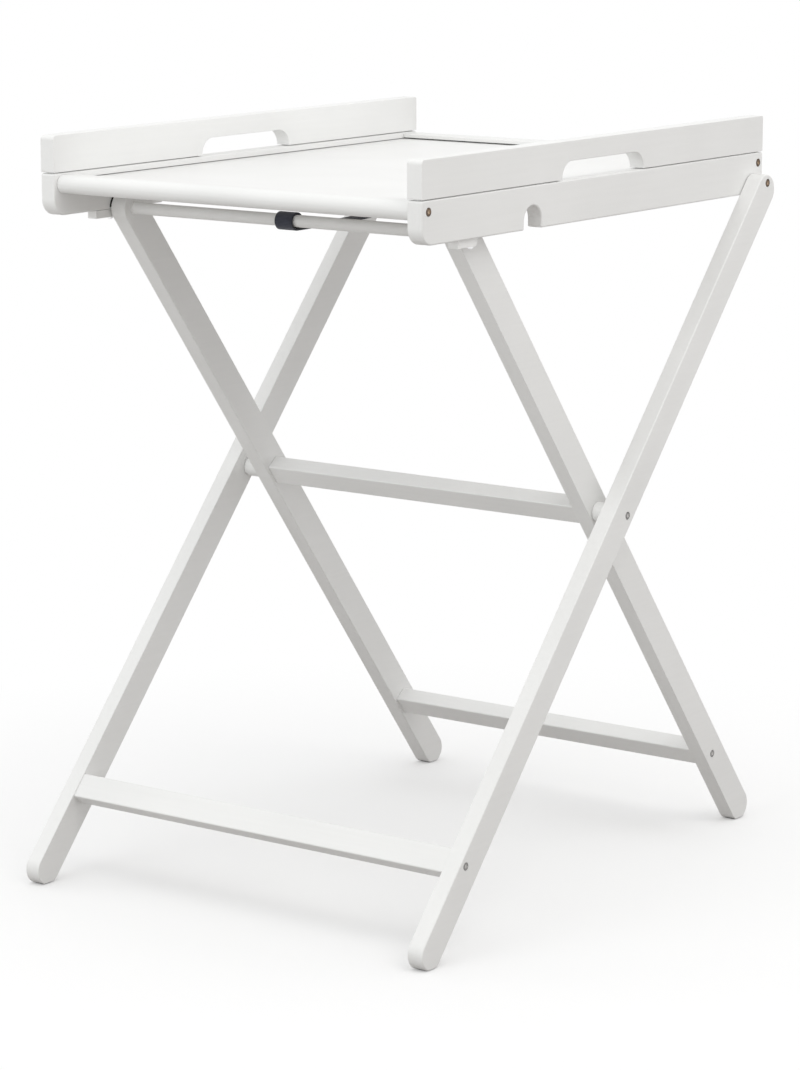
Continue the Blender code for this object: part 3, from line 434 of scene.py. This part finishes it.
scissorAxis = nodeAxis("crossing_bolt_right")
frontFootAxis = nodeAxis("front_foot_bolt_right")
rearFootAxis = nodeAxis("rear_foot_bolt_right")
trayAxis = nodeAxis("pivot_bolt_right")
for sideName in sides:
    makeLeg("outer", sideName, [frontFootAxis, scissorAxis], [trayAxis])
    makeLeg("inner", sideName, [rearFootAxis])
print("legs made")


# Crossbars between the legs

crossbars = {  # the leg pair, length along and across that leg, half length, and axis
    "front_foot_bar": ("outer", 0.0332, 0.0190, 0.2869, frontFootAxis),
    "rear_foot_bar": ("inner", 0.0290, 0.0216, 0.2413, rearFootAxis),
    "mid_crossbar": ("inner", 0.0305, 0.0206, 0.2413, scissorAxis),
}
crossbarEdge = 0.0019
arris = 0.0003


def makeCrossbar(node, kind, long, wide, end, axis):
    way = legs[kind]["way"]
    corners = []
    for alongSign, acrossSign in ((-1, -1), (1, -1), (1, 1), (-1, 1)):
        along, across = alongSign * long / 2, acrossSign * wide / 2
        y = axis[0] + along * math.cos(way) - across * math.sin(way)
        z = axis[1] + along * math.sin(way) + across * math.cos(way)
        corners.append((y, z, crossbarEdge))
    bm = drawBoard(corners, -end, end, steps=5)
    soften(bm, arris, 1)
    words = node.split("_")
    name = words[0] + "".join(word.title() for word in words[1:])
    place(bm, name, crossbarLacquer, kind + "_frame", [node])


for node, bar in crossbars.items():
    makeCrossbar(node, *bar)
print("crossbars made")


# Bolts, spacers, washers and discs on the side axes

bolts = {
    "head": 0.0034, "shank": 0.003, "socket": 0.0025, "socketDepth": 0.0013, "edge": 0.0008,
    "socketEdge": 0.00025, "past": 0.001,
    "kinds": {
        "front_foot_bolt": (0.0045, headSteel, "zinc_steel", "outer_frame"),
        "rear_foot_bolt": (0.0045, headSteel, "zinc_steel", "inner_frame"),
        "crossing_bolt": (0.0045, headSteel, "zinc_steel", "inner_frame"),
        "front_rail_bolt": (0.0047, bronze, "bronzed_steel", "tray"),
        "rear_rail_bolt": (0.0047, bronze, "bronzed_steel", "tray"),
        "pivot_bolt": (0.0047, bronze, "bronzed_steel", "tray"),
    },
}


def makeBolt(kind, sideName):
    side = sides[sideName]
    radius, finish, slot, body = bolts["kinds"][kind]
    node = kind + "_" + sideName
    low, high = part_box(node)
    top, tip = sorted((abs(low.x), abs(high.x)), reverse=True)
    seat = top - bolts["head"]
    shank = bolts["shank"]
    profile = [(0, top), (radius, top), (radius, seat), (shank, seat), (shank, tip), (0, tip)]
    axis = nodeAxis(node)
    bm = turn([(r, side * x) for r, x in profile], axis)
    soften(bm, bolts["edge"], 3, chosen=faceEdges(side * top))
    floorOfSocket = top - bolts["socketDepth"]
    mouth = side * (top + bolts["past"])
    bm = carve(bm, drillRods([axis], side * floorOfSocket, mouth, bolts["socket"], 6))
    soften(bm, bolts["socketEdge"], 2, 50, lambda edge: all(
        abs(abs(v.co.x) - top) < 1e-5 and
        math.hypot(v.co.y - axis[0], v.co.z - axis[1]) < bolts["socket"] + 1e-5 for v in edge.verts))
    highlightLayer = bm.loops.layers.uv.new("wearMap")  # across is 1 inside the socket, which gets the painted highlight colour
    for face in bm.faces:
        spot = face.calc_center_median()
        inside = math.hypot(spot.y - axis[0], spot.z - axis[1]) < bolts["socket"]
        paintedHighlight = inside and floorOfSocket - 1e-5 < abs(spot.x) < top + 1e-5
        for loop in face.loops:
            loop[highlightLayer].uv = (float(paintedHighlight), 0)
    words = kind.split("_")
    name = words[0] + words[1].title() + "Bolt" * (len(words) > 2) + sideName.title()
    place(bm, name, finish, body, [node])


for kind in bolts["kinds"]:
    for sideName in sides:
        makeBolt(kind, sideName)

spacer = {"radius": 0.0125, "bore": 0.0034, "edge": 0.0016}
disc = {"radius": 0.011, "edge": 0.0003}
washer = {"radius": 0.008, "bore": 0.0033}
dowel = {
    "radius": 0.0075, "collar": 0.0092, "collarWidth": 0.0016, "tenon": 0.004, "reach": 0.2413,
    "edge": 0.0005,
}


def turnedRing(low, high, bore, radius, axis):
    return turn([(bore, low), (radius, low), (radius, high), (bore, high), (bore, low)], axis)


dowelAxis = nodeAxis("slide_disc_right")
for sideName in sides:
    low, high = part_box("crossing_spacer_" + sideName)
    bm = turnedRing(low.x, high.x, spacer["bore"], spacer["radius"], scissorAxis)
    soften(bm, spacer["edge"], 4, chosen=lambda edge: all(
        math.hypot(v.co.y - scissorAxis[0], v.co.z - scissorAxis[1]) > 0.01 for v in edge.verts))
    place(bm, "crossingSpacer" + sideName.title(), turnedLacquer, "inner_frame",
          ["crossing_spacer_" + sideName])
    low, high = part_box("slide_disc_" + sideName)
    profile = [(0, low.x), (disc["radius"], low.x), (disc["radius"], high.x), (0, high.x)]
    bm = turn(profile, dowelAxis, steps=72)
    soften(bm, disc["edge"], 2)
    place(bm, "slideDisc" + sideName.title(), washerPlastic, "inner_frame",
          ["slide_disc_" + sideName])
    low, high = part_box("pivot_washer_" + sideName)
    bm = turnedRing(low.x, high.x, washer["bore"], washer["radius"], trayAxis)
    place(bm, "pivotWasher" + sideName.title(), washerPlastic, "tray",
          ["pivot_washer_" + sideName])

reach = dowel["reach"]
ends = [(0, -reach - dowel["tenon"]), (dowel["radius"], -reach - dowel["tenon"]), (dowel["radius"], -reach),
        (dowel["collar"], -reach), (dowel["collar"], dowel["collarWidth"] - reach),
        (dowel["radius"], dowel["collarWidth"] - reach)]
bm = turn(ends + [(radius, -x) for radius, x in reversed(ends)], dowelAxis)
soften(bm, dowel["edge"], 2, 50)
place(bm, "supportDowel", turnedLacquer, "inner_frame", ["support_dowel"])
print("bolts, spacers, discs and dowel made")


# Side rails and guard rails

rails = {
    "front": -0.37376, "rear": 0.376313, "bottom": 0.843932, "top": 0.895732,
    "inner": 0.26495, "outer": 0.2859,
    "toe": 0.020, "corner": 0.0030, "rim": 0.0022,
    "notchMiddle": -0.150119, "notchHalf": 0.0182, "notchTop": 0.871932, "grooveDepth": 0.008,
    "grooveSpan": (-0.34946, 0.352913),
}
grooveHeight = {"bottom": 0.881732, "top": 0.888032, "rearTop": 0.888932, "past": 0.002}
guards = {
    "bottom": 0.896932, "top": 0.942332, "frontRadius": 0.006, "rim": 0.0022, "cutInto": 0.0014,
    "handleMiddle": 0.001277, "handleHalf": 0.090, "handleTop": 0.918032, "handleCorner": 0.0215,
    "tongueInset": 0.0050, "tongueSink": 0.0001, "tongueRise": 0.004,
}
railBoltSpots = [nodeAxis("front_rail_bolt_right"), nodeAxis("rear_rail_bolt_right")]


def makeSideRail(sideName):
    side = sides[sideName]
    front, rear, bottom, top = rails["front"], rails["rear"], rails["bottom"], rails["top"]
    middle, half, roof = rails["notchMiddle"], rails["notchHalf"], rails["notchTop"]
    corners = [
        (front, bottom, rails["toe"]), (middle - half, bottom, 0), (middle - half, roof, half),
        (middle + half, roof, half), (middle + half, bottom, 0), (rear, bottom, rails["corner"]),
        (rear, top, rails["corner"]), (front, top, rails["corner"]),
    ]
    bm = drawBoard(corners, side * rails["inner"], side * rails["outer"], steps=10)
    soften(bm, rails["rim"], 4)
    start, stop = rails["grooveSpan"]
    groove = block((rails["inner"] - grooveHeight["past"], start, grooveHeight["bottom"]),
                   (rails["inner"] + rails["grooveDepth"], stop, grooveHeight["top"]))
    if side < 0:
        bmesh.ops.scale(groove, verts=groove.verts, vec=(-1, 1, 1))
        bmesh.ops.recalc_face_normals(groove, faces=groove.faces)
    bm = carve(bm, groove, boltHole(side, railBoltSpots, rails["outer"], recess["bronze"]))
    soften(bm, recess["mouth"], 2, chosen=mouthOf(side * rails["outer"], railBoltSpots, recess["bronze"]))
    place(bm, "sideRail" + sideName.title(), railLacquer, "tray",
          ["side_rail_" + sideName])


def makeGuardRail(sideName):
    # Rounded all round, then cut level, for a crisp lower edge; hidden tongues stand it off the side rail
    side = sides[sideName]
    front, rear, top = rails["front"], rails["rear"], guards["top"]
    bottom = guards["bottom"] - guards["cutInto"]
    middle, half, roof = guards["handleMiddle"], guards["handleHalf"], guards["handleTop"]
    corner, handleCorner = rails["corner"], guards["handleCorner"]
    corners = [
        (front, bottom, corner), (middle - half, bottom, 0), (middle - half, roof, handleCorner),
        (middle + half, roof, handleCorner), (middle + half, bottom, 0), (rear, bottom, corner),
        (rear, top, corner), (front, top, guards["frontRadius"]),
    ]
    bm = drawBoard(corners, side * rails["inner"], side * rails["outer"], steps=10)
    soften(bm, guards["rim"], 4)
    trim(bm, (0, 0, guards["bottom"]), (0, 0, -1))
    inset = guards["tongueInset"]
    across = sorted((side * (rails["inner"] + inset), side * (rails["outer"] - inset)))
    foot, root = rails["top"] - guards["tongueSink"], bottom + guards["tongueRise"]
    tongues = [block((across[0], start + inset, foot), (across[1], stop - inset, root))
               for start, stop in ((front, middle - half), (middle + half, rear))]
    bm = carve(bm, *tongues, way="UNION")
    place(bm, "guardRail" + sideName.title(), railLacquer, "tray",
          ["guard_rail_" + sideName])


for sideName in sides:
    makeSideRail(sideName)
    makeGuardRail(sideName)
print("rails made")


# Front bar, rear bar and panel

trayBars = {
    "end": 0.26465, "bottom": 0.871032, "top": 0.893832, "nose": 0.0111,
    "front": (-0.36846, -0.34146), "rear": (0.344913, 0.376313), "edge": 0.0016,
    "frontGroove": (-0.34946, -0.339), "rearGroove": (0.342, 0.360), "panelEdge": 0.0005,
}


def makeTrayBar(name, node, span, noseRadius, groove, grooveTop):
    front, rear = span
    bottom, top, edge = trayBars["bottom"], trayBars["top"], trayBars["edge"]
    corners = [(front, bottom, noseRadius), (rear, bottom, edge), (rear, top, edge),
               (front, top, noseRadius)]
    bm = drawBoard(corners, -trayBars["end"], trayBars["end"], steps=10)
    soften(bm, arris, 1)
    end = trayBars["end"] + grooveHeight["past"]
    bm = carve(bm, block((-end, groove[0], grooveHeight["bottom"]), (end, groove[1], grooveTop)))
    place(bm, name, crossbarLacquer, "tray", [node])


makeTrayBar("frontBar", "front_bar", trayBars["front"], trayBars["nose"],
            trayBars["frontGroove"], grooveHeight["top"])
makeTrayBar("rearBar", "rear_bar", trayBars["rear"], trayBars["edge"],
            trayBars["rearGroove"], grooveHeight["rearTop"])

low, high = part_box("tray_panel")
bm = block(low, high)
soften(bm, trayBars["panelEdge"], 2)
place(bm, "trayPanel", panelLacquer, "tray", ["tray_panel"])
print("bars and panel made")


# Catches under the rails

catches = {
    "slant": 0.0050, "frontRadius": 0.0003, "edge": 0.0003,
}
catchScrew = {
    "head": 0.0037, "dome": 0.0028, "brim": 0.0009, "shank": 0.0018, "point": 0.002,
    "cross": (0.0036, 0.0008, 0.0010), "past": 0.001, "domeSteps": 6,
}


def makeCatch(sideName):
    low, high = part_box("catch_" + sideName)
    front = catches["frontRadius"]
    corners = [(low.y, low.z, front), (high.y - catches["slant"], low.z, 0), (high.y, high.z, 0),
               (low.y, high.z, 0)]
    bm = drawBoard(corners, low.x, high.x, steps=4)
    soften(bm, catches["edge"], 3, 40)
    place(bm, "catch" + sideName.title(), catchPlastic, "catch_" + sideName,
          ["catch_" + sideName])


def makeCatchScrew(sideName):
    # Domed head below the catch, with a cross recess, and its shank up into the rail
    head, brim, shank = catchScrew["head"], catchScrew["brim"], catchScrew["shank"]
    node = "catch_screw_" + sideName
    low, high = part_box(node)
    middle = ((low.x + high.x) / 2, (low.y + high.y) / 2)
    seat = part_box("catch_" + sideName)[0].z
    bottom = seat - brim - catchScrew["dome"]
    dome = []
    for step in range(catchScrew["domeSteps"]):
        turned = math.pi / 2 * step / catchScrew["domeSteps"]
        dome.append((head * math.cos(turned), seat - brim - catchScrew["dome"] * math.sin(turned)))
    profile = [(0, bottom), *reversed(dome), (head, seat), (shank, seat),
               (shank, high.z - catchScrew["point"]), (0, high.z)]
    bm = turn(profile, middle, "Z", 32)
    long, wide, deep = catchScrew["cross"]
    arms = []
    for sizeX, sizeY in ((long, wide), (wide, long)):
        arms.append(block((middle[0] - sizeX / 2, middle[1] - sizeY / 2, bottom - catchScrew["past"]),
                          (middle[0] + sizeX / 2, middle[1] + sizeY / 2, bottom + deep)))
    bm = carve(bm, *arms)
    place(bm, "catchScrew" + sideName.title(), brightZinc, "tray", [node])


for sideName in sides:
    makeCatch(sideName)
    makeCatchScrew(sideName)
print("catches made")


# Glides, rest blocks, clamp plate and small screws

glide = {"corner": 0.004, "edge": 0.0004}
restBlockEdge = 0.0012
for node in ("front_glide", "rear_glide"):
    for sideName in sides:
        low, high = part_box(node + "_" + sideName)
        corners = [(x, y, glide["corner"]) for x, y in
                   ((low.x, low.y), (high.x, low.y), (high.x, high.y), (low.x, high.y))]
        bm = drawBoard(corners, low.z, high.z, "plan")
        soften(bm, glide["edge"], 2)
        body = "outer_frame" if node == "front_glide" else "inner_frame"
        place(bm, node.split("_")[0] + "Glide" + sideName.title(), footRubber, body,
              [node + "_" + sideName])

for sideName in sides:
    low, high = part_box("rest_block_" + sideName)
    bm = block(low, high)
    soften(bm, restBlockEdge, 3)
    place(bm, "restBlock" + sideName.title(), railLacquer, "tray",
          ["rest_block_" + sideName])

for name in ("strap_clamp_plate", "strap_clamp_screw_left", "strap_clamp_screw_right",
             "rest_block_screw_left", "rest_block_screw_right", "pivot_sleeve_left",
             "pivot_sleeve_right", "dowel_screw_left", "dowel_screw_right", "crossing_nut_left",
             "crossing_nut_right", "front_foot_nut_left", "front_foot_nut_right", "rear_foot_nut_left",
             "rear_foot_nut_right"):
    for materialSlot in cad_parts[name].material_slots:
        materialSlot.material = zinc
print("small parts made")


# Thin dark sheets on the rails' inner faces, behind the leg tops: painted shade standing in for the shadow
# in the gap between leg and rail

# These sheets are painted shade: they darken the gap between each leg top and its rail
railPad = {"radius": 0.0206, "thickness": 0.0002, "low": 0.8464, "steps": 28}
gapShadowStart = math.asin((railPad["low"] - dowelAxis[1]) / railPad["radius"])
arc = []
for step in range(railPad["steps"] + 1):
    turned = gapShadowStart + (math.pi - 2 * gapShadowStart) * step / railPad["steps"]
    arc.append((dowelAxis[0] + railPad["radius"] * math.cos(turned),
                dowelAxis[1] + railPad["radius"] * math.sin(turned), 0))
for sideName, side in sides.items():
    low, high = sorted((side * rails["inner"], side * (rails["inner"] - railPad["thickness"])))
    place(drawBoard(arc, low, high), "railPad" + sideName.title(), gapShadowPaint, "tray")
print("rail pads made")


# Strap

strap = {
    "width": 0.026, "thickness": 0.0017, "loopDrop": 0.0006, "loopRadius": 0.0102, "lap": 0.028,
    "barFace": 0.344913, "clampDepth": 0.014, "low": 0.834432, "high": 0.868932, "edge": 0.0004,
    "columns": 8, "lapShare": 0.7, "lapSteps": 10, "loopSteps": 40, "spanSteps": 40,
}


def strapUnder(y):  # height of the strap's underside
    share = min((y - dowelAxis[0]) / (strap["barFace"] - dowelAxis[0]), 1)
    return strap["low"] + (strap["high"] - strap["low"]) * share ** 2


def sewStrip(name, points, nodes):
    # A flat grid bent along the points, mapped in metres, then given the webbing's thickness
    bm = bmesh.new()
    bmesh.ops.create_grid(bm, x_segments=strap["columns"], y_segments=len(points) - 1, size=0.5)
    lengths = [0.0]
    for first, second in zip(points, points[1:]):
        lengths.append(lengths[-1] + math.dist(first, second))
    rowOf = {}
    for vert in bm.verts:
        row = round((vert.co.y + 0.5) * (len(points) - 1))
        rowOf[vert] = (row, vert.co.x * strap["width"])
    mapping = bm.loops.layers.uv.new("strapMap")
    for face in bm.faces:
        for loop in face.loops:
            row, across = rowOf[loop.vert]
            loop[mapping].uv = (across, lengths[row])
    for vert, (row, across) in rowOf.items():
        vert.co = (across, points[row][0], points[row][1])
    bmesh.ops.recalc_face_normals(bm, faces=bm.faces)
    bmesh.ops.solidify(bm, geom=bm.faces[:], thickness=strap["thickness"])
    soften(bm, strap["edge"], 2)
    return place(bm, name, navyWebbing, "inner_frame", nodes)


half = strap["thickness"] / 2
middle = (dowelAxis[0], dowelAxis[1] - strap["loopDrop"])
radius = strap["loopRadius"] - half
lapEnd = dowelAxis[0] + strap["lap"]
lapAngle = math.acos(1 - 2 * strap["thickness"] / radius)
path = []
for step in range(strap["lapSteps"] + 1):
    y = lapEnd - strap["lap"] * step / strap["lapSteps"] * strap["lapShare"]
    path.append((y, strapUnder(y) + 3 * half))
for step in range(strap["loopSteps"] + 1):
    angle = lapAngle - math.pi / 2 + (math.tau - lapAngle) * step / strap["loopSteps"]
    path.append((middle[0] + radius * math.cos(angle), middle[1] + radius * math.sin(angle)))
for step in range(1, strap["lapSteps"] + 1):
    y = middle[0] + (lapEnd - middle[0]) * step / strap["lapSteps"]
    path.append((y, strapUnder(y) + half))
sewStrip("strapLoop", path, ["strap"])
free = strap["barFace"] - lapEnd
stops = [lapEnd + free * step / strap["spanSteps"] for step in range(strap["spanSteps"] + 1)]
stops.append(strap["barFace"] + strap["clampDepth"])
span = sewStrip("strapSpan", [(y, strapUnder(y) + half) for y in stops], ["strap"])
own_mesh(span)

# Box stitching through the lap, on its underside and on its top
stitch = {
    "long": 0.0024, "thick": 0.0007, "pitch": 0.0031, "halfWidth": 0.0095, "from": 0.0125, "to": 0.0265,
    "crossPitch": 0.00372, "crossFrom": 0.0110, "crossTo": 0.0267, "crossHalf": 2,
}


def sewBox(name, lift):
    bm = bmesh.new()
    along, across = (stitch["thick"], stitch["long"]), (stitch["long"], stitch["thick"])
    stitches = []
    for step in range(int((stitch["to"] - stitch["from"]) / stitch["pitch"]) + 1):
        for x in (-stitch["halfWidth"], stitch["halfWidth"]):
            stitches.append((x, stitch["from"] + stitch["pitch"] * step, along))
    for step in range(-stitch["crossHalf"], stitch["crossHalf"] + 1):
        for back in (stitch["crossFrom"], stitch["crossTo"]):
            stitches.append((step * stitch["crossPitch"], back, across))
    for x, back, size in stitches:
        y = dowelAxis[0] + back
        spot = Matrix.Translation((x, y, strapUnder(y) + lift))
        bmesh.ops.create_uvsphere(bm, u_segments=10, v_segments=6, radius=0.5,
                                  matrix=spot @ Matrix.Diagonal((*size, stitch["thick"], 1)))
    place(bm, name, navyThread, "inner_frame")


sewBox("strapStitchesUnder", 0.0)
sewBox("strapStitchesTop", 2 * strap["thickness"])
print("strap made")


# Floor, light and camera

studio = {
    "world": 0.98, "floorRadius": 5, "floorColour": (0.93, 0.93, 0.93), "floorBounce": (0.32, 0.30, 0.285),
    "clearFrom": 0.35, "clearBy": 1.1, "lampAim": (0, 0, 0.55),
    "front": {"place": (-0.6, -4.2, 1.3), "size": 2.4, "power": 24, "tint": (0.935, 0.99, 1.0)},
    "right": {"place": (2.4, -0.6, 3.6), "size": 2.4, "power": 21.5, "tint": (1.0, 0.982, 0.945)},
    "left": {"place": (-3.8, -1.0, 1.8), "size": 2.4, "power": 9, "tint": (0.98, 1.0, 1.0)},
}


def cameraSees(tree):  # 1 for the camera and for reflections, 0 for light that only bounces
    path = tree.nodes.new("ShaderNodeLightPath")
    either = tree.nodes.new("ShaderNodeMath")
    either.operation = "MAXIMUM"
    tree.links.new(path.outputs["Is Camera Ray"], either.inputs[0])
    tree.links.new(path.outputs["Is Glossy Ray"], either.inputs[1])
    anySeen = tree.nodes.new("ShaderNodeMath")
    anySeen.operation = "MAXIMUM"
    tree.links.new(either.outputs[0], anySeen.inputs[0])
    tree.links.new(path.outputs["Is Transmission Ray"], anySeen.inputs[1])
    return anySeen.outputs[0]


def makeFloor():
    bm = bmesh.new()
    bmesh.ops.create_circle(bm, cap_ends=True, segments=96, radius=studio["floorRadius"])
    floor = asObject(bm, "floor")
    material, tree, shader = newFinish("floorFinish", (0.86, 0.86, 0.86), 0.9)
    shader.inputs["Specular IOR Level"].default_value = 0.0
    seen = cameraSees(tree)
    paint = blendColours(tree, seen, studio["floorBounce"], studio["floorColour"])
    tree.links.new(paint, shader.inputs["Base Color"])
    far = tree.nodes.new("ShaderNodeVectorMath")
    far.operation = "LENGTH"
    tree.links.new(ownPlace(tree), far.inputs[0])
    clear = spread(tree, far.outputs["Value"], 0, 1, studio["clearFrom"], studio["clearBy"])
    both = tree.nodes.new("ShaderNodeMath")
    both.operation = "MULTIPLY"
    tree.links.new(clear, both.inputs[0])
    tree.links.new(seen, both.inputs[1])
    glow = addNode(tree, "ShaderNodeEmission", Color=(1, 1, 1, 1), Strength=1.0)
    mixed = tree.nodes.new("ShaderNodeMixShader")
    tree.links.new(both.outputs[0], mixed.inputs[0])
    tree.links.new(shader.outputs[0], mixed.inputs[1])
    tree.links.new(glow.outputs[0], mixed.inputs[2])
    tree.links.new(mixed.outputs[0], tree.nodes["Material Output"].inputs["Surface"])
    floor.data.materials.append(material)


def makeWorld():
    world = bpy.data.worlds.new("studioWorld")
    scene.world = world
    world.use_nodes = True
    tree = world.node_tree
    background = tree.nodes["Background"]
    background.inputs["Color"].default_value = (1, 1, 1, 1)
    level = spread(tree, cameraSees(tree), studio["world"], 1.0, 0.0, 1.0)
    tree.links.new(level, background.inputs["Strength"])


def makeLamp(name):
    lamp = studio[name]
    light = bpy.data.lights.new(name + "Light", "AREA")
    light.shape = "DISK"
    light.size = lamp["size"]
    light.energy = lamp["power"]
    light.color = lamp["tint"]
    holder = bpy.data.objects.new(name + "Light", light)
    scene.collection.objects.link(holder)
    holder.location = lamp["place"]
    toward = Vector(studio["lampAim"]) - holder.location
    holder.rotation_euler = toward.to_track_quat("-Z", "Y").to_euler()


view = {
    "place": (2.6581, -3.6550, 1.3209), "target": (-0.0216, 0.0035, 0.4165),
    "lens": 121.306, "roll": -0.099, "sensor": 36,
}


def makeCamera():
    camera = bpy.data.cameras.new("camera")
    camera.sensor_width = view["sensor"]
    camera.sensor_fit = "AUTO"
    camera.lens = view["lens"]
    holder = bpy.data.objects.new("camera", camera)
    scene.collection.objects.link(holder)
    aim = (Vector(view["target"]) - Vector(view["place"])).to_track_quat("-Z", "Y").to_matrix()
    holder.location = view["place"]
    holder.rotation_euler = (aim @ Matrix.Rotation(math.radians(view["roll"]), 3, "Z")).to_euler()
    scene.camera = holder


makeFloor()
makeWorld()
for name in ("front", "right", "left"):
    makeLamp(name)
makeCamera()
scene.view_settings.view_transform = "Standard"
print("studio made")
